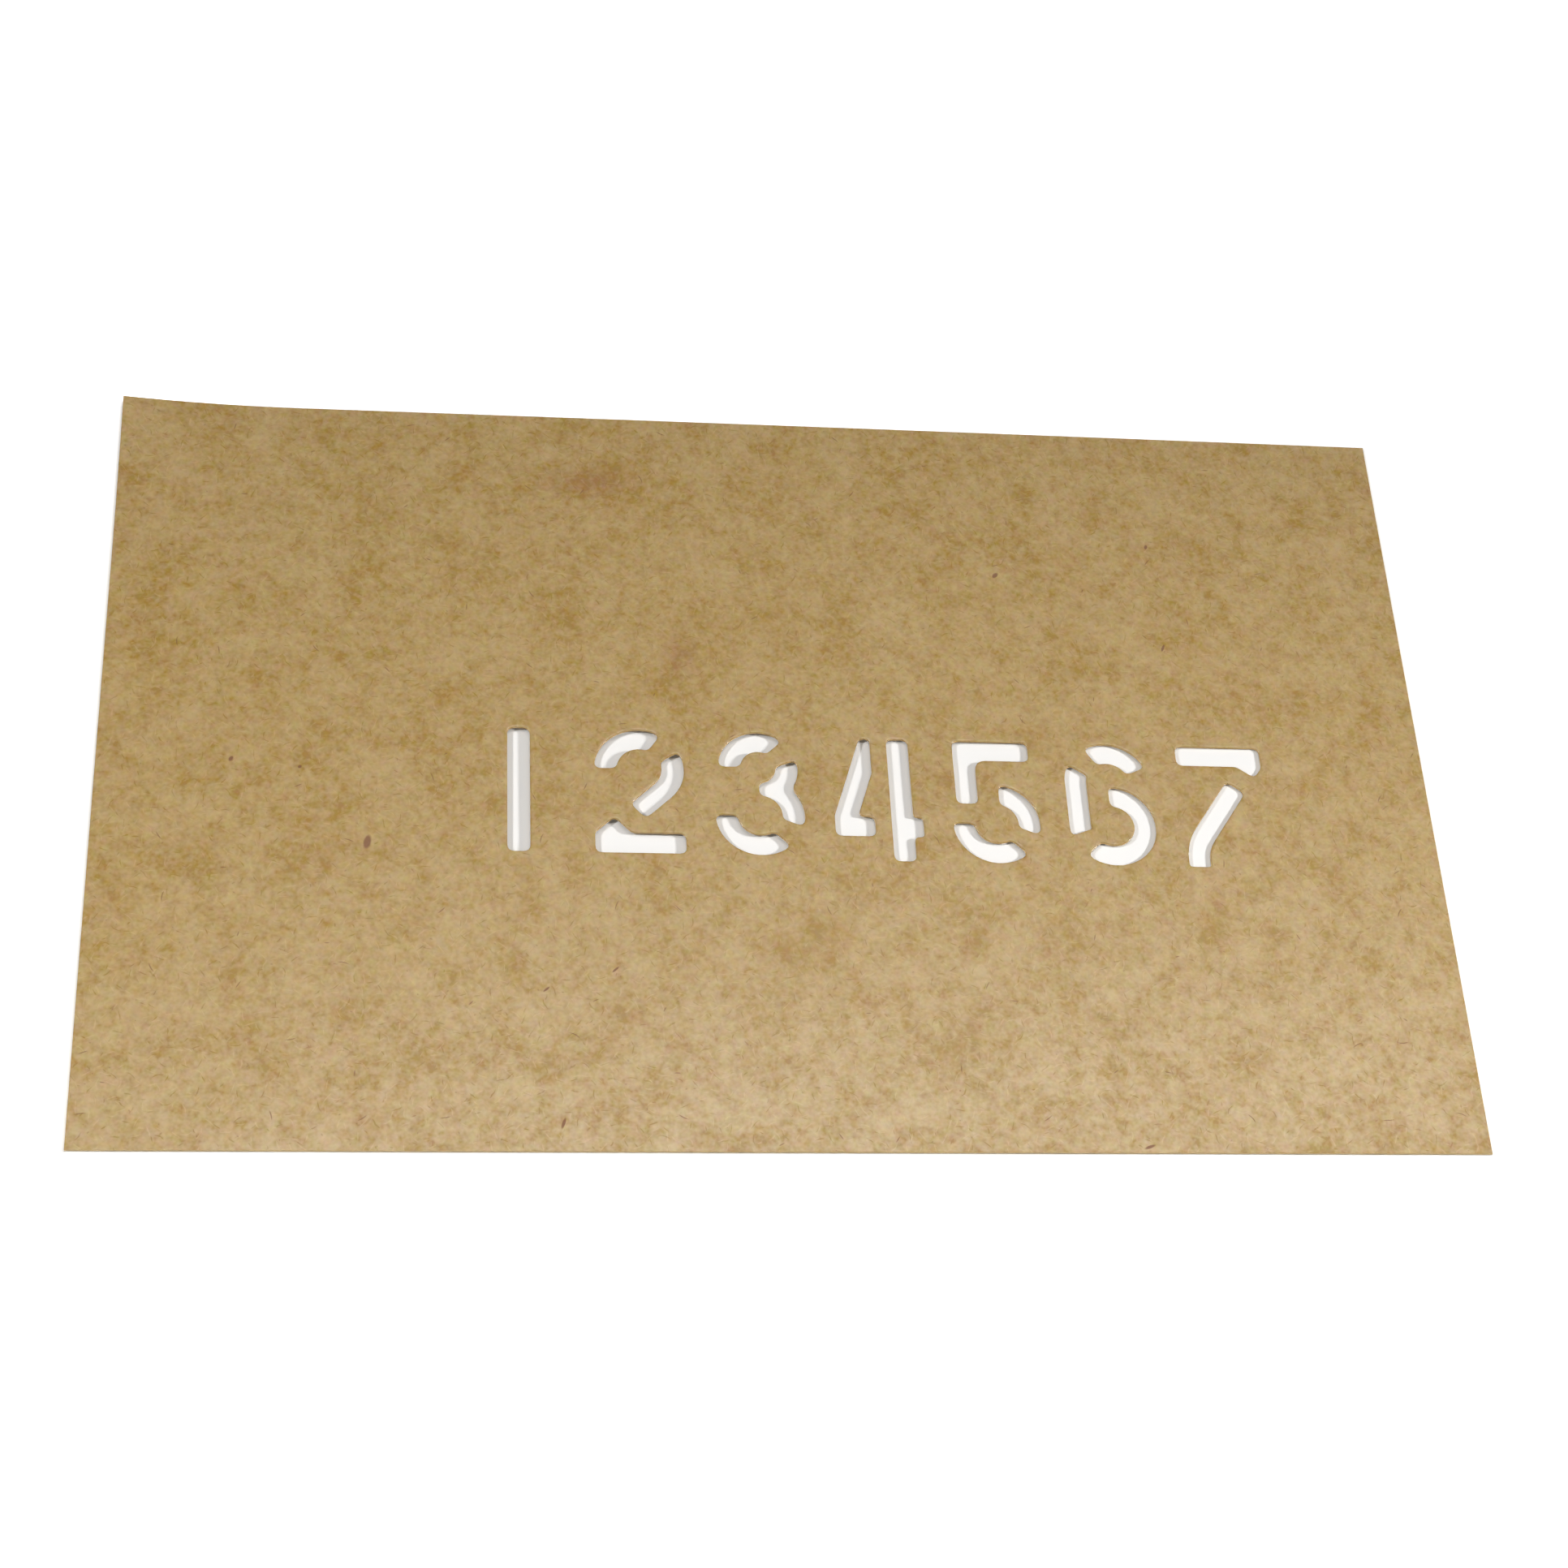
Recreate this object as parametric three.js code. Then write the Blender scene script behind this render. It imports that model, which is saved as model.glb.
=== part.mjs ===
// A marking stencil: one sheet of oiled stencil board with a row of numerals punched through it.
// Millimetres, +Z up. The origin is the middle of the sheet's underside, +X runs along the row
// and +Y runs from the foot of the numerals to their top.
import * as THREE from "three";

// Board, and the margins that are left round the row
const BOARD_THICKNESS = 0.5;
const LEFT_MARGIN = 66.2;
const RIGHT_MARGIN = 31.3;
const TOP_MARGIN = 70.25;
const BOTTOM_MARGIN = 56;

// Row: the gap between numerals, and the step where the board slipped as it was fed
const NUMERAL_GAP = 5.4;
const NUMERALS_BEFORE_SLIP = 3;
const FEED_SLIP = 0.75;

// Punches: the width of a stroke, and the insides of the bowls that the numerals are drawn on
const STROKE = 4.1;
const COUNTER_RADIUS = 4.05;
const UPPER_COUNTER_RADIUS = 3.2;
const WAIST = 2.7;
const CORNER_RADIUS = 1.3;
const INNER_CORNER_RADIUS = 2;

// Bridges: strips of board left across a stroke, wider outside a bowl than inside it
const BRIDGE = 3.9;
const BRIDGE_FLARE = 0.8;
const SIDE_BRIDGE_TILT = THREE.MathUtils.degToRad(32);
const TOP_BRIDGE_TILT = THREE.MathUtils.degToRad(44);

// Single numerals
const TWO_HEEL = 4.8;
const FOUR_BAR_HEIGHT = 5;
const FOUR_BRIDGE = 3;
const FOUR_TIP = 2;
const FOUR_OVERHANG = 1.8;
const FIVE_INSET = 1;
const SIX_TIP_TILT = THREE.MathUtils.degToRad(25);
const SEVEN_HEEL = 2.8;
const SEVEN_FOOT = 1.5;
const SEVEN_BEND = 7;

// Smoothness of the curves, and the most of an edge that a rounded corner may take up
const ARC_STEP = 1.2;
const CORNER_STEPS = 4;
const CORNER_SHARE = 0.45;
const NEGLIGIBLE = 1e-4;

// Sizes that follow from those above
const BOWL_RADIUS = COUNTER_RADIUS + STROKE;
const UPPER_BOWL_RADIUS = UPPER_COUNTER_RADIUS + STROKE;
const NUMERAL_WIDTH = 2 * BOWL_RADIUS;
const NUMERAL_HEIGHT = 2 * STROKE + 2 * COUNTER_RADIUS + WAIST + 2 * UPPER_COUNTER_RADIUS;
const BAR_UNDERSIDE = NUMERAL_HEIGHT - STROKE;

const UP = Math.PI / 2;
const LEFT = Math.PI;
const FULL_TURN = 2 * Math.PI;

const point = (x, y) => new THREE.Vector2(x, y);
const moved = (start, direction, distance) => start.clone().addScaledVector(direction, distance);

// Centres of the bowls. Each numeral is drawn with its lower left corner at (0, 0).
const lowerBowl = point(BOWL_RADIUS, BOWL_RADIUS);
const topBowl = point(BOWL_RADIUS, NUMERAL_HEIGHT - BOWL_RADIUS);
const upperBowl = point(BOWL_RADIUS, NUMERAL_HEIGHT - UPPER_BOWL_RADIUS);

// Outlines run anticlockwise.

function polygon(...corners) {
  const path = new THREE.Path();
  path.setFromPoints(corners);
  path.closePath();
  return path;
}

// An arc joined to the end of a path by a straight edge, anticlockwise if its angle grows.
function addArc(path, centre, radius, from, to) {
  path.absarc(centre.x, centre.y, radius, from, to, to < from);
}

// How far a rounded corner reaches back along the two edges that meet there.
function cornerReach(edge, next) {
  const arriving = edge.getTangent(1);
  const leaving = next.getTangent(0);
  const turn = arriving.angleTo(leaving);
  const radius = arriving.cross(leaving) > 0 ? CORNER_RADIUS : INNER_CORNER_RADIUS;
  const shortest = Math.min(edge.getLength(), next.getLength());
  return Math.min(radius * Math.tan(turn / 2), CORNER_SHARE * shortest);
}

// The points of an outline of lines and arcs, with its corners rounded.
function rounded(outline) {
  const edges = outline.curves.filter((edge) => edge.getLength() > NEGLIGIBLE);
  const reach = edges.map((edge, i) => cornerReach(edge, edges[(i + 1) % edges.length]));
  const points = [];
  edges.forEach((edge, i) => {
    const next = edges[(i + 1) % edges.length];
    const start = reach.at(i - 1) / edge.getLength();
    const end = 1 - reach[i] / edge.getLength();
    const steps = edge.isLineCurve ? 1 : Math.ceil(edge.getLength() / ARC_STEP);
    for (let step = 0; step < steps; step += 1) {
      points.push(edge.getPointAt(start + ((end - start) * step) / steps));
    }
    if (reach[i] > NEGLIGIBLE) {
      const cornerEnd = next.getPointAt(reach[i] / next.getLength());
      const corner = new THREE.QuadraticBezierCurve(edge.getPointAt(end), edge.getPoint(1), cornerEnd);
      points.push(...corner.getPoints(CORNER_STEPS).slice(0, -1));
    }
  });
  return points;
}

// Half a bridge as an angle, on the inside and on the outside of a bowl.
const halfBridgeInside = (radius) => (BRIDGE - BRIDGE_FLARE) / 2 / radius;
const halfBridgeOutside = (radius) => (BRIDGE + BRIDGE_FLARE) / 2 / radius;

// The end of a run along a bowl: cut off at a bridge, or free.
const atBridge = (angle) => ({ angle, bridges: 1 });
const freeEnd = (angle) => ({ angle, bridges: 0 });

// An opening that runs along a bowl from one end to the other.
function bowlRun(centre, counterRadius, from, to) {
  const bowlRadius = counterRadius + STROKE;
  const inside = halfBridgeInside(counterRadius);
  const outside = halfBridgeOutside(bowlRadius);
  const run = new THREE.Path();
  addArc(run, centre, bowlRadius, from.angle + from.bridges * outside, to.angle - to.bridges * outside);
  addArc(run, centre, counterRadius, to.angle - to.bridges * inside, from.angle + from.bridges * inside);
  run.closePath();
  return rounded(run);
}

// The bottom of the lower bowl, as in the 3 and the 5.
function lowerHook() {
  return bowlRun(lowerBowl, COUNTER_RADIUS, freeEnd(LEFT), atBridge(FULL_TURN - SIDE_BRIDGE_TILT));
}

// The right side of the lower bowl, from a bridge round to an upright cut at x, as in the 5 and the 6.
function lowerBowlSide(bridge, x) {
  const cutAngle = (radius) => FULL_TURN + Math.acos((x - lowerBowl.x) / radius);
  const inside = bridge + halfBridgeInside(COUNTER_RADIUS);
  const outside = bridge + halfBridgeOutside(BOWL_RADIUS);
  const side = new THREE.Path();
  addArc(side, lowerBowl, BOWL_RADIUS, outside, cutAngle(BOWL_RADIUS));
  addArc(side, lowerBowl, COUNTER_RADIUS, cutAngle(COUNTER_RADIUS), inside);
  side.closePath();
  return rounded(side);
}

// A slanted stroke: unit steps up along it, and across it to the right.
function slant(slope) {
  return {
    along: point(Math.cos(slope), Math.sin(slope)),
    across: point(Math.sin(slope), -Math.cos(slope)),
  };
}

// The slope of the line between a point and the side of a circle whose centre lies (dx, dy) away.
function tangentSlope(dx, dy, radius) {
  return Math.atan2(dy, dx) - Math.asin(radius / Math.hypot(dx, dy));
}

function one() {
  const left = (NUMERAL_WIDTH - STROKE) / 2;
  const right = left + STROKE;
  return [
    rounded(polygon(
      point(left, 0), point(right, 0), point(right, NUMERAL_HEIGHT), point(left, NUMERAL_HEIGHT),
    )),
  ];
}

function two() {
  const corner = point(0, STROKE);
  const slope = tangentSlope(topBowl.x - corner.x, topBowl.y - corner.y, COUNTER_RADIUS);
  const { along, across } = slant(slope);
  const heelTop = moved(corner, along, TWO_HEEL);
  const legLeft = moved(heelTop, along, BRIDGE);
  const legRight = moved(legLeft, across, STROKE);
  const topOutside = TOP_BRIDGE_TILT - halfBridgeOutside(BOWL_RADIUS);
  const topInside = TOP_BRIDGE_TILT - halfBridgeInside(COUNTER_RADIUS);
  const leg = new THREE.Path();
  addArc(leg, topBowl, BOWL_RADIUS, slope - UP, topOutside);
  addArc(leg, topBowl, COUNTER_RADIUS, topInside, slope - UP);
  leg.lineTo(legLeft.x, legLeft.y);
  leg.lineTo(legRight.x, legRight.y);
  leg.closePath();
  return [
    bowlRun(topBowl, COUNTER_RADIUS, atBridge(TOP_BRIDGE_TILT), freeEnd(LEFT)),
    rounded(leg),
    rounded(polygon(
      point(0, 0), point(NUMERAL_WIDTH, 0), point(NUMERAL_WIDTH, STROKE),
      point(TWO_HEEL / Math.cos(slope), STROKE), heelTop, corner,
    )),
  ];
}

function three() {
  const apart = upperBowl.y - lowerBowl.y;
  const notchY = (apart ** 2 + BOWL_RADIUS ** 2 - UPPER_BOWL_RADIUS ** 2) / (2 * apart);
  const notchX = Math.sqrt(BOWL_RADIUS ** 2 - notchY ** 2);
  const lowerOutside = halfBridgeOutside(BOWL_RADIUS) - SIDE_BRIDGE_TILT;
  const lowerInside = halfBridgeInside(COUNTER_RADIUS) - SIDE_BRIDGE_TILT;
  const upperOutside = SIDE_BRIDGE_TILT - halfBridgeOutside(UPPER_BOWL_RADIUS);
  const upperInside = SIDE_BRIDGE_TILT - halfBridgeInside(UPPER_COUNTER_RADIUS);
  const side = new THREE.Path();
  addArc(side, lowerBowl, BOWL_RADIUS, lowerOutside, Math.atan2(notchY, notchX));
  addArc(side, upperBowl, UPPER_BOWL_RADIUS, Math.atan2(notchY - apart, notchX), upperOutside);
  addArc(side, upperBowl, UPPER_COUNTER_RADIUS, upperInside, -UP);
  addArc(side, lowerBowl, COUNTER_RADIUS, UP, lowerInside);
  side.closePath();
  return [
    bowlRun(upperBowl, UPPER_COUNTER_RADIUS, atBridge(SIDE_BRIDGE_TILT), freeEnd(LEFT)),
    rounded(side),
    lowerHook(),
  ];
}

function four() {
  const barTop = FOUR_BAR_HEIGHT + STROKE;
  const stemRight = NUMERAL_WIDTH - FOUR_OVERHANG;
  const stemLeft = stemRight - STROKE;
  const armRight = stemLeft - FOUR_BRIDGE;
  const tipLeft = armRight - FOUR_TIP;
  const slope = Math.atan2(NUMERAL_HEIGHT - barTop, tipLeft);
  const armInside = STROKE / Math.sin(slope);
  const crotchY = barTop + (armRight - armInside) * Math.tan(slope);
  return [
    rounded(polygon(
      point(0, FOUR_BAR_HEIGHT), point(armRight, FOUR_BAR_HEIGHT), point(armRight, barTop),
      point(armInside, barTop), point(armRight, crotchY), point(armRight, NUMERAL_HEIGHT),
      point(tipLeft, NUMERAL_HEIGHT), point(0, barTop),
    )),
    rounded(polygon(
      point(stemLeft, 0), point(stemRight, 0), point(stemRight, FOUR_BAR_HEIGHT),
      point(NUMERAL_WIDTH, FOUR_BAR_HEIGHT), point(NUMERAL_WIDTH, barTop), point(stemRight, barTop),
      point(stemRight, NUMERAL_HEIGHT), point(stemLeft, NUMERAL_HEIGHT),
    )),
  ];
}

function five() {
  const stemRight = FIVE_INSET + STROKE;
  const stemFoot = lowerBowl.y + COUNTER_RADIUS;
  const flagEnd = NUMERAL_WIDTH - FIVE_INSET;
  return [
    rounded(polygon(
      point(FIVE_INSET, NUMERAL_HEIGHT), point(FIVE_INSET, stemFoot), point(stemRight, stemFoot),
      point(stemRight, BAR_UNDERSIDE), point(flagEnd, BAR_UNDERSIDE), point(flagEnd, NUMERAL_HEIGHT),
    )),
    lowerBowlSide(FULL_TURN - SIDE_BRIDGE_TILT, stemRight + BRIDGE),
    lowerHook(),
  ];
}

function six() {
  const shoulder = LEFT - TOP_BRIDGE_TILT;
  const lowerBridge = LEFT + SIDE_BRIDGE_TILT;
  const stem = new THREE.Path();
  addArc(stem, topBowl, BOWL_RADIUS, shoulder + halfBridgeOutside(BOWL_RADIUS), LEFT);
  addArc(stem, lowerBowl, BOWL_RADIUS, LEFT, lowerBridge - halfBridgeOutside(BOWL_RADIUS));
  addArc(stem, lowerBowl, COUNTER_RADIUS, lowerBridge - halfBridgeInside(COUNTER_RADIUS), LEFT);
  addArc(stem, topBowl, COUNTER_RADIUS, LEFT, shoulder + halfBridgeInside(COUNTER_RADIUS));
  stem.closePath();
  return [
    bowlRun(topBowl, COUNTER_RADIUS, freeEnd(SIX_TIP_TILT), atBridge(shoulder)),
    rounded(stem),
    lowerBowlSide(lowerBridge, STROKE + BRIDGE),
  ];
}

function seven() {
  const corner = point(NUMERAL_WIDTH, BAR_UNDERSIDE);
  const bend = point(STROKE + SEVEN_BEND, SEVEN_FOOT);
  const slope = tangentSlope(corner.x - bend.x, corner.y - bend.y, SEVEN_BEND);
  const { along, across } = slant(slope);
  const heelTip = moved(corner, along, -SEVEN_HEEL);
  const legRight = moved(heelTip, along, -BRIDGE);
  const legLeft = moved(legRight, across, -STROKE);
  const leg = new THREE.Path();
  leg.moveTo(legRight.x, legRight.y);
  leg.lineTo(legLeft.x, legLeft.y);
  addArc(leg, bend, SEVEN_BEND + STROKE, slope + UP, LEFT);
  leg.lineTo(0, 0);
  leg.lineTo(STROKE, 0);
  addArc(leg, bend, SEVEN_BEND, LEFT, slope + UP);
  leg.closePath();
  return [
    rounded(polygon(
      point(0, NUMERAL_HEIGHT), point(0, BAR_UNDERSIDE),
      point(NUMERAL_WIDTH - SEVEN_HEEL / Math.cos(slope), BAR_UNDERSIDE),
      heelTip, corner, point(NUMERAL_WIDTH, NUMERAL_HEIGHT),
    )),
    rounded(leg),
  ];
}

// The sheet: its cut edge, and the row of openings set out between the margins.

const row = [one, two, three, four, five, six, seven];
const rowWidth = row.length * NUMERAL_WIDTH + (row.length - 1) * NUMERAL_GAP;
const right = (LEFT_MARGIN + rowWidth + RIGHT_MARGIN) / 2;
const top = (BOTTOM_MARGIN + NUMERAL_HEIGHT + FEED_SLIP + TOP_MARGIN) / 2;

const sheet = new THREE.Shape([
  point(-right, -top), point(right, -top), point(right, top), point(-right, top),
]);

row.forEach((numeral, i) => {
  const slip = i < NUMERALS_BEFORE_SLIP ? FEED_SLIP : 0;
  const place = point(
    LEFT_MARGIN + i * (NUMERAL_WIDTH + NUMERAL_GAP) - right,
    BOTTOM_MARGIN + slip - top,
  );
  numeral().forEach((outline) => {
    sheet.holes.push(new THREE.Path(outline.map((corner) => corner.add(place))));
  });
});

const stencilSheet = new THREE.Mesh(
  new THREE.ExtrudeGeometry(sheet, { depth: BOARD_THICKNESS, bevelEnabled: false }),
  new THREE.MeshStandardMaterial({ color: 0xb99b69, roughness: 0.6, metalness: 0 }),
);
stencilSheet.name = "stencil_sheet";

const stencil = new THREE.Group();
stencil.add(stencilSheet);

export default stencil;
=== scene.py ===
import math

import bpy
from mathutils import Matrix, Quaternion, Vector


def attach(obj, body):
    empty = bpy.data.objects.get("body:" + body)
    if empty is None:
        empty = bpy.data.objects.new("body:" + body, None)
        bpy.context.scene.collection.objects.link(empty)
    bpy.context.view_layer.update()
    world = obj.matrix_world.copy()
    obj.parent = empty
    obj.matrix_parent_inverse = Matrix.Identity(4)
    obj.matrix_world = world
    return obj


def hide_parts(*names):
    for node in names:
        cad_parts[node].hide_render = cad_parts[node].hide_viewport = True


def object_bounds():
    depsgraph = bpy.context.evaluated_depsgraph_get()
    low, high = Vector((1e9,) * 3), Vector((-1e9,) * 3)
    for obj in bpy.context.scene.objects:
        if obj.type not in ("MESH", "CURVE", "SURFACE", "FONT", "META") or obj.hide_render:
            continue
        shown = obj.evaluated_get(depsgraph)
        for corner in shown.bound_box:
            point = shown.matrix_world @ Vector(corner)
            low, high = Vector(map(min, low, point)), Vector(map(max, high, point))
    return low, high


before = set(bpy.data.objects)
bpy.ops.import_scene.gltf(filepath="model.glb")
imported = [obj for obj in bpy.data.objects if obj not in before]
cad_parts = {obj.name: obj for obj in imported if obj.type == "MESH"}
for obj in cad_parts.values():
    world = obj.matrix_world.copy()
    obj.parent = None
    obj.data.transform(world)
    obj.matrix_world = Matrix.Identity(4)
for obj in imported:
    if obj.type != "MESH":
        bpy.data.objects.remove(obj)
cad_low, cad_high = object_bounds()

# Punched sheet
# One sheet of oiled stencil board with seven numerals punched through it. The punch draws the face
# down a little round every opening, so the upper rims are rolled and the lower ones only eased.
MM = 0.001
FACE_ROLL = ((0.03, 0.03), (0.07, 0.027), (0.12, 0.022), (0.16, 0.014), (0.06, 0))
UNDERSIDE_EASE = ((0.05, 0.03), (0.05, 0))
EDGE_ROLL = 0.2
EDGE_STRIP = 2 * MM
GRID = 4 * MM
SAME_POINT = 0.001 * MM
SAME_PLANE = math.radians(0.5)
LEVEL_NORMAL = 0.9
SMOOTH_BELOW = math.radians(40)

board = bpy.data.objects.new("stencil_board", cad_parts["stencil_sheet"].data.copy())
bpy.context.collection.objects.link(board)
bpy.ops.object.select_all(action="DESELECT")
board.select_set(True)
bpy.context.view_layer.objects.active = board
bpy.ops.mesh.customdata_custom_splitnormals_clear()
bpy.context.tool_settings.mesh_select_mode = (False, False, True)
bpy.ops.object.mode_set(mode="EDIT")
bpy.ops.mesh.select_all(action="SELECT")
bpy.ops.mesh.remove_doubles(threshold=SAME_POINT)
bpy.ops.mesh.dissolve_limited(angle_limit=SAME_PLANE)


def shape_rims(up, steps):
    """Steps the upper face (up 1) or the underside (up -1) back from its rims, then fills it afresh.

    Each step has the width that it goes inwards and the depth that it goes back up, in millimetres.
    """
    bpy.ops.mesh.select_all(action="DESELECT")
    bpy.ops.object.mode_set(mode="OBJECT")
    for face in board.data.polygons:
        face.select = face.normal.z * up > LEVEL_NORMAL
    bpy.ops.object.mode_set(mode="EDIT")
    sunk = sum(depth for width, depth in steps)
    bpy.ops.transform.translate(value=(0, 0, -up * sunk * MM))
    for width, depth in steps:
        bpy.ops.mesh.inset(thickness=width * MM, depth=depth * MM)
    bpy.ops.mesh.delete(type="FACE")
    bpy.ops.mesh.select_mode(type="EDGE")
    bpy.ops.mesh.select_non_manifold()
    bpy.ops.mesh.fill()
    bpy.ops.mesh.select_mode(type="FACE")


shape_rims(1, FACE_ROLL)
shape_rims(-1, UNDERSIDE_EASE)

# The flat faces are cut into a grid, so that the sheet can bow.
bpy.ops.mesh.select_all(action="SELECT")
bpy.ops.mesh.quads_convert_to_tris()
for axis in (Vector((1, 0, 0)), Vector((0, 1, 0))):
    start, end = cad_low.dot(axis), cad_high.dot(axis)
    cuts = round((end - start) / GRID)
    for cut in range(1, cuts):
        place = axis * (start + (end - start) * cut / cuts)
        bpy.ops.mesh.select_all(action="SELECT")
        bpy.ops.mesh.bisect(plane_co=place, plane_no=axis, threshold=SAME_POINT / 10)
bpy.ops.mesh.select_all(action="SELECT")
bpy.ops.mesh.dissolve_degenerate(threshold=SAME_POINT)
bpy.ops.mesh.normals_make_consistent(inside=False)
bpy.ops.object.mode_set(mode="OBJECT")

# The shears that cut the sheet out draw its face down much less than the punch does.
half_width = (cad_high.x - cad_low.x) / 2
half_depth = (cad_high.y - cad_low.y) / 2
for vertex in board.data.vertices:
    from_edge = min(half_width - abs(vertex.co.x), half_depth - abs(vertex.co.y))
    if from_edge < EDGE_STRIP and vertex.co.z > cad_high.z / 2:
        vertex.co.z = cad_high.z - EDGE_ROLL * (cad_high.z - vertex.co.z)

# Lie of the sheet
# Oiled board is never quite flat: the sheet bows up a little round the first numerals and at its
# far edge, and its far left corner has curled. The other three corners rest on the table.
BOW = 0.55 * MM
BOW_MIDDLE = -40 * MM
BOW_REACH = 180 * MM
FAR_BOW = 0.3 * MM
CORNER_CURL = 2 * MM
CURL_REACH = 34 * MM


def lie(x, y):
    """How far the sheet stands off the table at a point."""
    across = x / half_width
    along = y / half_depth
    from_bow = min(1, abs(x - BOW_MIDDLE) / BOW_REACH)
    bow = BOW * math.cos(from_bow * math.pi / 2) ** 2 * (1 - along ** 2)
    far_bow = FAR_BOW * (1 - across ** 2) * ((1 + along) / 2) ** 2
    from_corner = Vector((x + half_width, half_depth - y)).length
    curl = CORNER_CURL * max(0, 1 - from_corner / CURL_REACH) ** 2
    return bow + far_bow + curl


for vertex in board.data.vertices:
    vertex.co.z += lie(vertex.co.x, vertex.co.y)
bpy.ops.object.shade_smooth_by_angle(angle=SMOOTH_BELOW)

# Oiled board
# Kraft fibre board soaked in drying oil: a felt of fine fibres in soft clouds, paler where little oil
# was taken up and browner where more was, with slivers of wood in it and a few stains and scratches.
PALE = (0.470, 0.327, 0.137, 1)
SOAKED = (0.285, 0.155, 0.006, 1)
FINE_TINT = (-0.023, 0.006, 0.023)
LILAC_TINT = (-0.007, -0.038, 0.066)
RUSSET_TINT = (0.050, -0.046, -0.021)
STAIN_TINT = (-0.008, -0.021, 0.012)
BARK = (0.13, 0.03, 0.001, 1)
# Sheared wall colours: pale cut fibre, made paler still as painted light on the outer edges.
SHEARED_PALE_PAINTED_LIGHT = (0.88, 0.68, 0.38, 1)
SHEARED_DARK_PAINTED_LIGHT = (0.72, 0.53, 0.26, 1)
PUNCHED_PALE = (0.72, 0.49, 0.20, 1)
PUNCHED_DARK = (0.50, 0.32, 0.12, 1)

finish = bpy.data.materials.new("oiled_kraft_board")
finish.use_nodes = True
tree = finish.node_tree
shader = tree.nodes["Principled BSDF"]


def step(kind, sockets, give=0, **settings):
    """Adds a node, links or sets its sockets, and hands back one of its outputs."""
    node = tree.nodes.new(kind)
    for name, value in settings.items():
        setattr(node, name, value)
    for name, value in sockets.items():
        if isinstance(value, bpy.types.NodeSocket):
            tree.links.new(value, node.inputs[name])
        else:
            node.inputs[name].default_value = value
    return node.outputs[give]


def sum_of(first, second):
    return step("ShaderNodeMath", {0: first, 1: second}, operation="ADD")


def product(first, second):
    return step("ShaderNodeMath", {0: first, 1: second}, operation="MULTIPLY")


def blended(*parts):
    """Adds patterns up, each times its share."""
    whole = None
    for pattern, share in parts:
        part = product(pattern, share)
        whole = part if whole is None else sum_of(whole, part)
    return whole


def mixed(share, first, second):
    """Goes from the first colour to the second as the share goes from 0 to 1."""
    return step("ShaderNodeMix", {0: share, 6: first, 7: second}, give=2, data_type="RGBA")


def ramp(value, start, end, low=0, high=1):
    """Goes smoothly from low to high while the value goes from start to end."""
    sockets = {"Value": value, "From Min": start, "From Max": end, "To Min": low, "To Max": high}
    return step("ShaderNodeMapRange", sockets, interpolation_type="SMOOTHSTEP")


def shifted(place, move):
    return step("ShaderNodeVectorMath", {0: place, 1: move}, operation="ADD")


def scaled(vector, amount):
    return step("ShaderNodeVectorMath", {0: vector, "Scale": amount}, operation="SCALE")


def clouds(place, size, detail=0, roughness=0.5):
    """Soft noise with patches of about this size in millimetres, centred on nought."""
    sockets = {"Vector": place, "Scale": 1 / size, "Detail": detail, "Roughness": roughness}
    return sum_of(step("ShaderNodeTexNoise", sockets), -0.5)


def fibres(place, length, width, directions):
    """A felt of soft streaks of this length and width in millimetres, lying in so many directions."""
    streaks = []
    for turn in range(directions):
        sockets = {
            "Vector": place,
            "Location": (31.7 * turn, 12.9 * turn + length, 0),
            "Rotation": (0, 0, math.pi * (turn + 0.3) / directions),
            "Scale": (length, width, width),
        }
        combed = step("ShaderNodeMapping", sockets, vector_type="TEXTURE")
        streaks.append((clouds(combed, 1), directions ** -0.5))
    return blended(*streaks)


def slivers(place, cell, share, length, width):
    """Short bent slivers, at most one to a cell of this size, each turned its own way."""
    sockets = {"Vector": place, "Scale": 1 / cell, "Randomness": 0.8}
    middle = step("ShaderNodeTexVoronoi", sockets, give="Position", voronoi_dimensions="2D")
    chance = step("ShaderNodeSeparateColor", {0: middle.node.outputs["Color"]}, give="Red").node
    offset = step("ShaderNodeVectorMath", {0: place, 1: middle}, operation="SUBTRACT")
    turn = product(chance.outputs["Red"], math.tau)
    turned = step("ShaderNodeVectorRotate", {"Vector": offset, "Angle": turn}, rotation_type="Z_AXIS")
    along = step("ShaderNodeSeparateXYZ", {0: turned}, give="X")
    bend = product(sum_of(chance.outputs["Green"], -0.5), 0.6 / length)
    across = sum_of(along.node.outputs["Y"], product(product(along, along), bend))
    reach = product(sum_of(chance.outputs["Green"], 0.5), length / 2)
    along = step("ShaderNodeMath", {0: along, 1: reach}, operation="DIVIDE")
    across = product(across, 2 / width)
    far = sum_of(product(along, along), product(across, across))
    chosen = step("ShaderNodeMath", {0: chance.outputs["Blue"], 1: share}, operation="LESS_THAN")
    return product(ramp(far, 1.2, 0.2), chosen)


def spot(place, middle, reach, turn=0):
    """A soft oval, 1 at its middle and 0 at its rim."""
    sockets = {
        "Vector": place,
        "Location": (*middle, 0),
        "Rotation": (0, 0, math.radians(turn)),
        "Scale": (*reach, 1000),
    }
    inside = step("ShaderNodeMapping", sockets, vector_type="TEXTURE")
    return step("ShaderNodeTexGradient", {"Vector": inside}, give="Fac", gradient_type="SPHERICAL")


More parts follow.
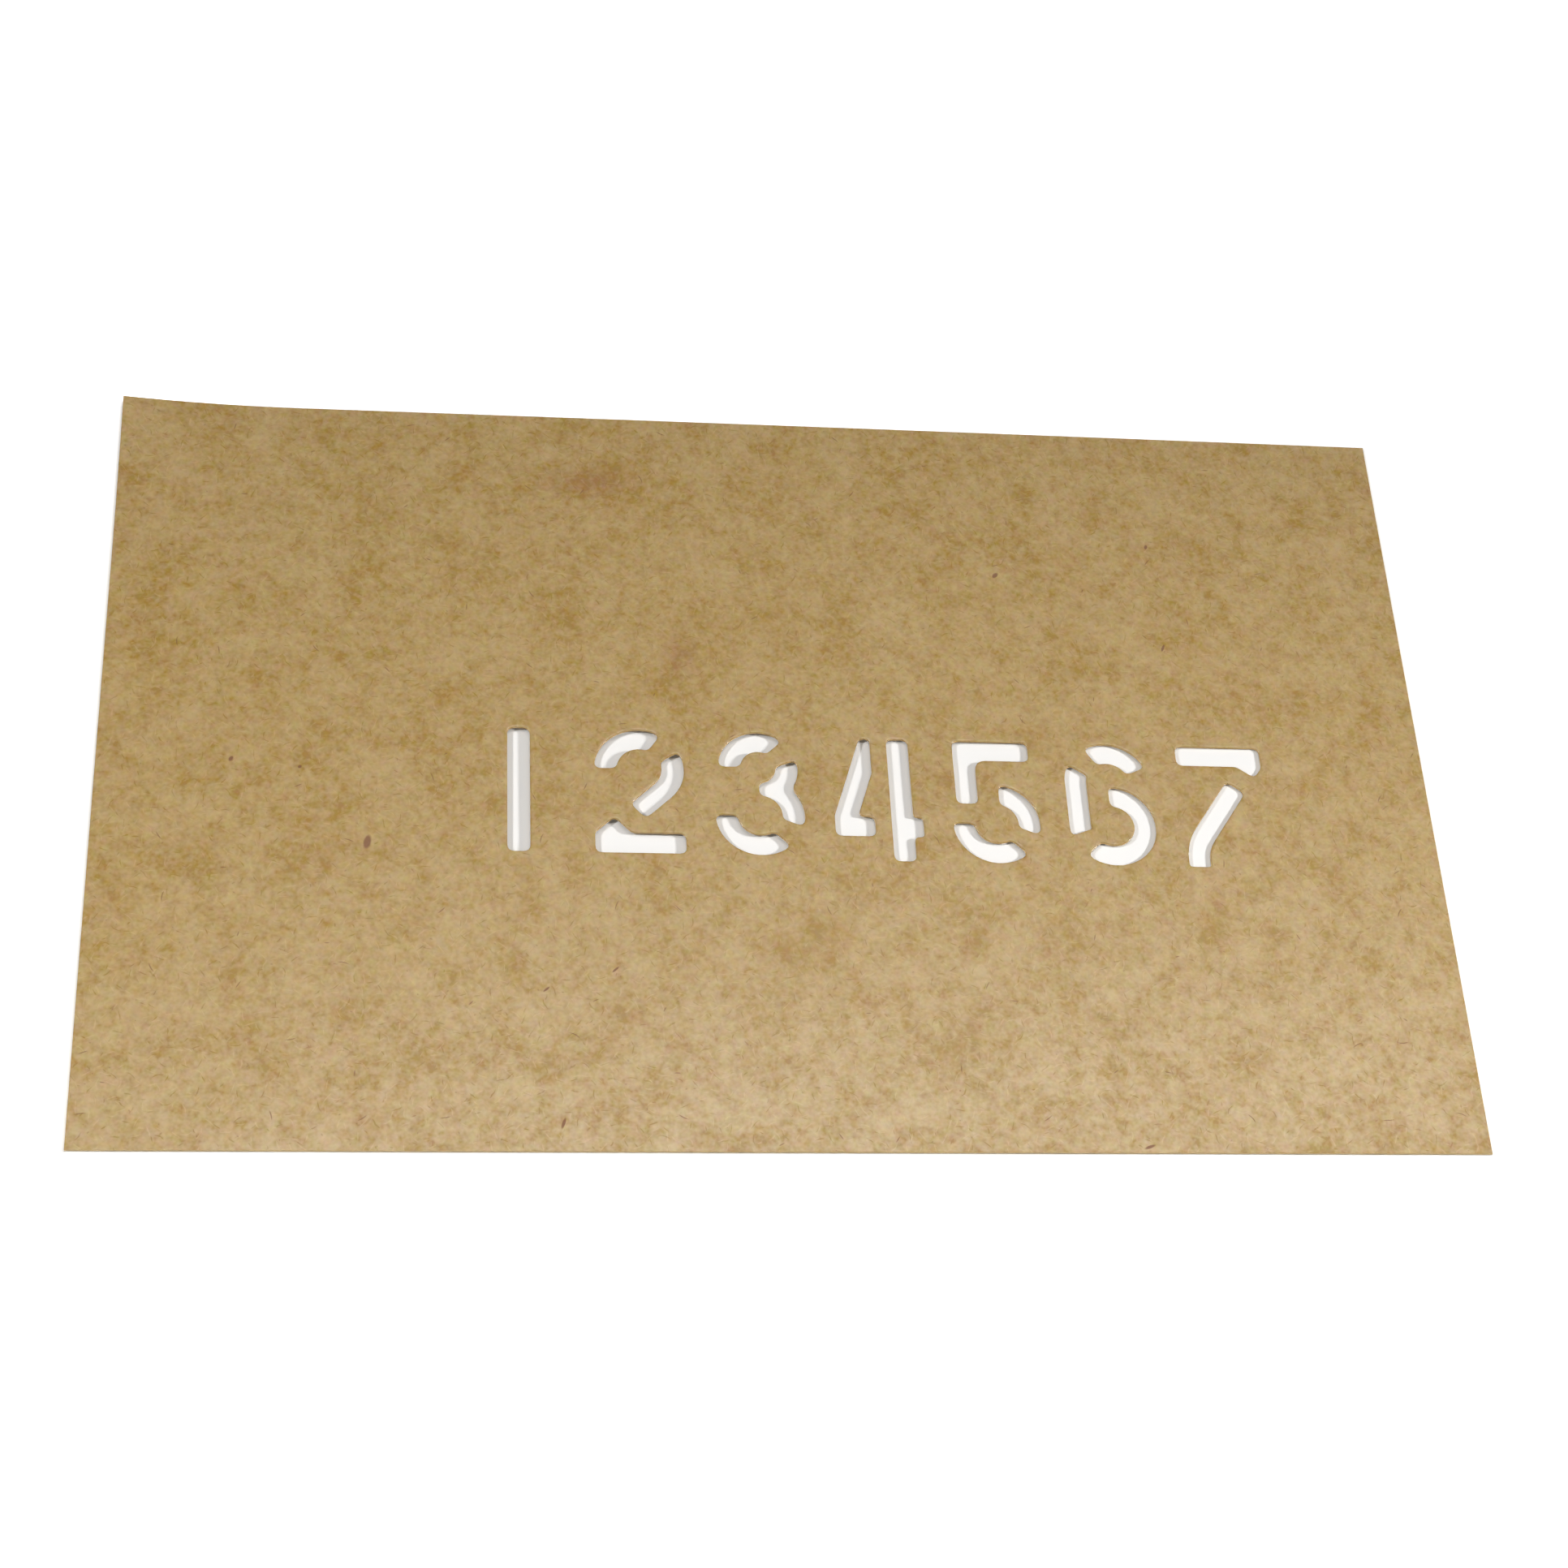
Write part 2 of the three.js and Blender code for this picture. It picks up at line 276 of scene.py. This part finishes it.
# The two faces carry different patches, so the pattern is moved along on the underside.
UNDERSIDE_SHIFT = (137, 59, 0)
on_board = step("ShaderNodeTexCoord", {}, give="Object")
in_mm = step("ShaderNodeMapping", {"Vector": on_board, "Scale": (MM, MM, MM)}, vector_type="TEXTURE")
facing = step("ShaderNodeNewGeometry", {}, give="Normal")
facing = step("ShaderNodeSeparateXYZ", {0: facing}, give="Z")
under = step("ShaderNodeMath", {0: facing, 1: -0.5}, operation="LESS_THAN")
in_mm = shifted(in_mm, scaled(UNDERSIDE_SHIFT, under))

# Fibres and clouds wander off their straight run.
WANDER = 1.6
wander = step("ShaderNodeTexNoise", {"Vector": in_mm, "Scale": 0.3, "Detail": 2}, give="Color")
wander = shifted(wander, (-0.5, -0.5, -0.5))
wandering = shifted(in_mm, scaled(wander, WANDER))

# How much oil the board took up, from broad drifts down to single fibres.
DARK_FIBRE_SHIFT = (53, 0, 0)
drifts = clouds(in_mm, 24)
flocs = clouds(wandering, 9, 2, 1.0)
bundles = fibres(wandering, 2.4, 0.9, 4)
felt = fibres(wandering, 1.4, 0.4, 5)
grain = clouds(in_mm, 0.6)
pale_fibres = slivers(wandering, 2.2, 0.7, 1.7, 0.24)
dark_fibres = slivers(shifted(wandering, DARK_FIBRE_SHIFT), 2.7, 0.6, 1.5, 0.24)
fine = blended((felt, 0.40), (grain, 0.41), (pale_fibres, -0.29), (dark_fibres, 0.40))
oil = blended((drifts, 0.2), (flocs, 1.4), (bundles, 0.7), (fine, 1))
oil = blended((oil, 1), (product(oil, oil), 0.5))

# Patches that stand out on the face: middle, reach and direction, then how much more oil.
PATCHES = (
    ((0, -39.5), (11, 5.2), 149, 0.36),
    ((8.2, -34.5), (5.8, 4.6), 25, 0.36),
    ((77, -32.4), (9.9, 3.5), 80, 0.26),
    ((32.6, -36.8), (4.5, 3.6), 90, 0.34),
    ((-81, -22), (4.3, 2.6), 98, 0.3),
    ((-0.5, 32), (3.4, 2.4), 15, 0.45),
    ((58, 20.7), (4.8, 2.4), 7, 0.3),
    ((-37, -60), (10, 9), 0, 0.1),
    ((-35, 20), (8, 7), 0, -0.15),
    ((22, 28), (9, 13), 0, -0.12),
    ((50, -58), (14, 9), 0, -0.12),
)
for middle, reach, turn, more_oil in PATCHES:
    oil = sum_of(oil, product(spot(wandering, middle, reach, turn), more_oil))

# Two reddish stains, each with its middle, reach and direction.
STAINS = (((-34, 61), (11.5, 5.2), 3), ((-18, 22.5), (7, 4.2), 90))
STAIN_OIL = 0.42
stained = blended(*((spot(wandering, *stain), 1) for stain in STAINS))
oil = sum_of(oil, product(stained, STAIN_OIL))

# Fine scratches: middle, half length, direction in degrees.
SCRATCHES = (((-38.8, 39.5), 7.6, -9), ((-21, 36.8), 3.8, -5.5))
SCRATCH_HALF_WIDTH = 0.22
SCRATCH_OIL = -0.3
for middle, half_length, turn in SCRATCHES:
    scratch = spot(in_mm, middle, (half_length, SCRATCH_HALF_WIDTH), turn)
    oil = sum_of(oil, product(scratch, SCRATCH_OIL))

# The colour follows the oil, and drifts a little towards lilac and russet from place to place.
LILAC_SHIFT = (70, 0, 0)
RUSSET_SHIFT = (140, 0, 0)
taken_up = step("ShaderNodeMath", {0: oil, 1: 0.5}, operation="ADD", use_clamp=True)
colour = mixed(taken_up, PALE, SOAKED)
lilac = clouds(shifted(in_mm, LILAC_SHIFT), 1.3, 1)
russet = clouds(shifted(in_mm, RUSSET_SHIFT), 1.4, 1)
colour = shifted(colour, scaled(FINE_TINT, fine))
colour = shifted(colour, scaled(LILAC_TINT, lilac))
colour = shifted(colour, scaled(RUSSET_TINT, russet))
colour = shifted(colour, scaled(STAIN_TINT, stained))

# Slivers of wood: scattered ones, then the largest with middle, half length and width, and direction.
SPLINTERS = (
    ((-74.2, -18.2), (1.8, 0.85), 80),
    ((-40.3, -71.2), (1.3, 0.36), 71),
    ((60.6, -75.1), (1.3, 0.36), 20),
    ((-31, -42.5), (1, 0.26), 43),
    ((-43, -46.4), (0.9, 0.26), 40),
    ((74.8, 26.9), (1.1, 0.32), 66),
    ((43.5, 42.3), (0.95, 0.55), 46),
    ((-98.5, -1.8), (0.7, 0.48), 60),
    ((74.1, 50.1), (0.65, 0.42), 75),
    ((-86.4, -3.2), (0.46, 0.38), 44),
)
MOST_BARK = 0.85
long_slivers = slivers(in_mm, 13, 0.5, 1.6, 0.26)
short_slivers = slivers(in_mm, 4.5, 0.4, 0.4, 0.3)
wood = blended((long_slivers, 0.6), (short_slivers, 0.35))
for middle, reach, turn in SPLINTERS:
    wood = sum_of(wood, ramp(spot(in_mm, middle, reach, turn), 0, 0.5, 0, MOST_BARK))
wood = step("ShaderNodeMath", {0: wood, 1: MOST_BARK}, operation="MINIMUM")
colour = mixed(wood, colour, BARK)

# The walls show the plies on edge, rougher than the oiled faces: pale where the sheet was sheared,
# and pressed brown where the punch went through. The sheared walls are painted paler than cut fibre
# alone would be: this is painted light on the outer edges, which get little lamp light.
PLY = (1.2, 1.2, 0.06)
level = step("ShaderNodeMath", {0: facing}, operation="ABSOLUTE")
wall = ramp(level, 0.6, 0.3)
plies = step("ShaderNodeMapping", {"Vector": in_mm, "Scale": PLY}, vector_type="TEXTURE")
plies = sum_of(clouds(plies, 1, 1), 0.5)
# The sheared colour is partly real pale fibre and partly painted light.
sheared_and_painted_light = mixed(plies, SHEARED_PALE_PAINTED_LIGHT, SHEARED_DARK_PAINTED_LIGHT)
punched = mixed(plies, PUNCHED_PALE, PUNCHED_DARK)
corner = (half_width / MM, half_depth / MM, 0)
past = step("ShaderNodeVectorMath", {0: in_mm}, operation="ABSOLUTE")
past = step("ShaderNodeVectorMath", {0: past, 1: corner}, operation="SUBTRACT")
past = step("ShaderNodeSeparateXYZ", {0: past}, give="X")
past = step("ShaderNodeMath", {0: past, 1: past.node.outputs["Y"]}, operation="MAXIMUM")
outer = ramp(past, -EDGE_STRIP / MM, -EDGE_STRIP / MM / 2)
colour = mixed(wall, colour, mixed(outer, punched, sheared_and_painted_light))
tree.links.new(colour, shader.inputs["Base Color"])

# The oil dries to a soft sheen that is duller on the walls and on the wood.
SHEEN = {"From Min": 0.3, "From Max": 0.7, "To Min": 0.28, "To Max": 0.33}
DRY_OIL_IOR = 1.48
SHINE = 0.675
dullness = step("ShaderNodeMapRange", {"Value": taken_up, **SHEEN})
dullness = blended((dullness, 1), (wall, 0.25), (wood, 0.2))
tree.links.new(dullness, shader.inputs["Roughness"])
shader.inputs["IOR"].default_value = DRY_OIL_IOR
shader.inputs["Specular IOR Level"].default_value = SHINE

# Fibres and wood stand a little proud of the face.
RELIEF_HEIGHT = 0.02 * MM
RELIEF_STRENGTH = 0.25
raised = blended((felt, 1), (flocs, 0.5), (pale_fibres, 0.3), (wood, 0.5))
sockets = {"Strength": RELIEF_STRENGTH, "Distance": RELIEF_HEIGHT, "Height": raised}
tree.links.new(step("ShaderNodeBump", sockets), shader.inputs["Normal"])

board.data.materials.clear()
board.data.materials.append(finish)
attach(board, "root")
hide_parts("stencil_sheet")

# Table
# A plain white table top that the sheet lies on. It fades to pure white away from the sheet, and
# keeps the sheet's shadow in the openings and along the edges.
TABLE_SIDE = 8
TABLE_DROP = 0.03 * MM
TABLE_COLOUR = (0.92, 0.91, 0.89, 1)
TABLE_ROUGHNESS = 0.9
NEAR_GLOW = 0.01
FADE_OVER = 1.5 * MM
WHITE = (1, 1, 1, 1)

bpy.ops.object.select_all(action="DESELECT")
bpy.ops.mesh.primitive_plane_add(size=TABLE_SIDE, location=(0, 0, -TABLE_DROP))
table = bpy.context.object
table.name = "table"
paint = bpy.data.materials.new("white_table")
paint.use_nodes = True
tree = paint.node_tree
shader = tree.nodes["Principled BSDF"]
shader.inputs["Base Color"].default_value = TABLE_COLOUR
shader.inputs["Roughness"].default_value = TABLE_ROUGHNESS
shader.inputs["Specular IOR Level"].default_value = 0
on_table = step("ShaderNodeTexCoord", {}, give="Object")
away = step("ShaderNodeVectorMath", {0: on_table}, operation="ABSOLUTE")
away = step("ShaderNodeVectorMath", {0: away, 1: (half_width, half_depth, 1)}, operation="SUBTRACT")
away = step("ShaderNodeVectorMath", {0: away, 1: (0, 0, 0)}, operation="MAXIMUM")
away = step("ShaderNodeVectorMath", {0: away}, give="Value", operation="LENGTH")
fade = ramp(away, 0, FADE_OVER, NEAR_GLOW, 1)


def seen_rays():
    """1 for the rays that show the background: from the camera, or by way of gloss or glass."""
    path = tree.nodes.new("ShaderNodeLightPath")
    seen = sum_of(path.outputs["Is Camera Ray"], path.outputs["Is Glossy Ray"])
    seen = sum_of(seen, path.outputs["Is Transmission Ray"])
    return step("ShaderNodeMath", {0: seen, 1: 1}, operation="MINIMUM")


shader.inputs["Emission Color"].default_value = WHITE
tree.links.new(product(fade, seen_rays()), shader.inputs["Emission Strength"])
table.data.materials.append(paint)

# Light
# Two gridded softboxes stand low on the left and right, a strip light hangs behind the sheet, where
# its soft reflection lies on the near margin, and a weak fill stands in front. The room is dim.
ROOM_LIGHT = 0.03


def softbox(name, place, aim, size, watts, spread, turn=0):
    """A soft light at this place that looks at a point of the table, turned on its axis.

    Places and sizes are in metres, the spread of the grid and the turn in degrees.
    """
    lamp = bpy.data.lights.new(name, "AREA")
    lamp.shape = "RECTANGLE"
    lamp.size, lamp.size_y = size
    lamp.energy = watts
    lamp.spread = math.radians(spread)
    holder = bpy.data.objects.new(name, lamp)
    holder.location = place
    holder.rotation_mode = "QUATERNION"
    look = (Vector((*aim, 0)) - Vector(place)).to_track_quat("-Z", "Y")
    holder.rotation_quaternion = look @ Quaternion((0, 0, 1), math.radians(turn))
    bpy.context.collection.objects.link(holder)


softbox("left_softbox", (-0.51, -0.041, 0.428), (0.138, -0.2), (0.08, 0.08), 0.981, 109)
softbox("right_softbox", (0.481, -0.044, 0.267), (-0.344, -0.115), (0.06, 0.06), 0.622, 82.6)
softbox("strip_light", (0.257, 0.434, 1.4), (0.257, 0.434), (1.209, 0.06), 5.5, 180, 8.4)
softbox("front_fill", (-0.161, -0.75, 0.55), (0, 0), (0.8, 0.4), 0.82, 180)

world = bpy.data.worlds.new("white_room")
bpy.context.scene.world = world
world.use_nodes = True
tree = world.node_tree
glow = step("ShaderNodeMapRange", {"Value": seen_rays(), "To Min": ROOM_LIGHT, "To Max": 1})
tree.links.new(glow, tree.nodes["Background"].inputs["Strength"])
tree.nodes["Background"].inputs["Color"].default_value = WHITE

# Camera
# It stands in front and to the left of the sheet, looks down at it at about 59 degrees, and is
# turned a little so that the sheet's near edge lies level in the picture.
CAMERA_PLACE = Vector((-69.1, -260.3, 445.9)) * MM
CAMERA_AIM = Vector((0.5, -4.2, 0)) * MM
CAMERA_ROLL = math.radians(14.3)
SENSOR_WIDTH = 36
FOCAL_LENGTH = 65.51

camera = bpy.data.objects.new("camera", bpy.data.cameras.new("camera"))
camera.data.sensor_width = SENSOR_WIDTH
camera.data.lens = FOCAL_LENGTH
camera.location = CAMERA_PLACE
camera.rotation_mode = "QUATERNION"
look = (CAMERA_AIM - CAMERA_PLACE).to_track_quat("-Z", "Y")
camera.rotation_quaternion = look @ Quaternion((0, 0, 1), CAMERA_ROLL)
bpy.context.collection.objects.link(camera)
bpy.context.scene.camera = camera
bpy.context.scene.view_settings.view_transform = "Standard"

bpy.context.view_layer.update()
